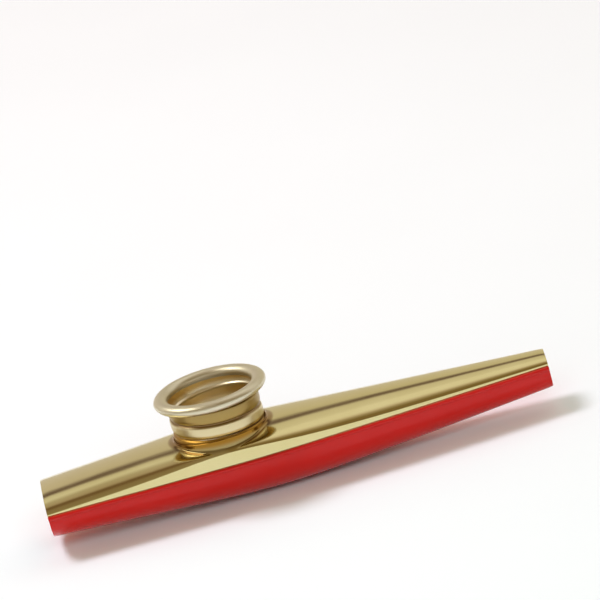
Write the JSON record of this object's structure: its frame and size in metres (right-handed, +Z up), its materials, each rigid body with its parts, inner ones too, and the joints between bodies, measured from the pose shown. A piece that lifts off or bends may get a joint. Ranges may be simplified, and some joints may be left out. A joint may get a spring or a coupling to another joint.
{
  "type": "kazoo",
  "caption": "Metal kazoo: tapered pressed body open at both ends, hemmed side seams, and a screw ring on top that clamps a buzzing membrane.",
  "frame": {"origin": "under the middle of the length, at the lowest point of the belly", "axes": "+X along the body from the mouth end to the exit end, +Z up along the turret's axis"},
  "size_m": [0.12, 0.0266, 0.0275],
  "materials": {
    "gold_body": "polished gold plate",
    "red_lacquer": "gloss red lacquer",
    "satin_ring": "satin pale gold",
    "holder_fibre": "plain fibre board",
    "membrane_film": "clear thin film"
  },
  "bodies": {
    "body": {"upper_shell": "gold_body", "lower_shell": "red_lacquer", "turret_socket": "gold_body"},
    "membrane_pack": {"membrane": "membrane_film", "membrane_holder": "holder_fibre"},
    "ring": {"screw_ring": "satin_ring"}
  },
  "joints": [
    {"name": "ring_rise", "type": "slide", "parent": "body", "child": "membrane_pack", "axis": [0, 0, 1], "range_m": [0, 0.00365]},
    {"name": "ring_turn", "type": "hinge", "parent": "membrane_pack", "child": "ring", "pos_m": [-0.0165, 0, 0.0205], "axis": [0, 0, -1], "range_deg": [0, 375]}
  ],
  "couplings": [
    {"joint": "ring_rise", "follows": "ring_turn", "m_per_rad": 0.00055704}
  ]
}
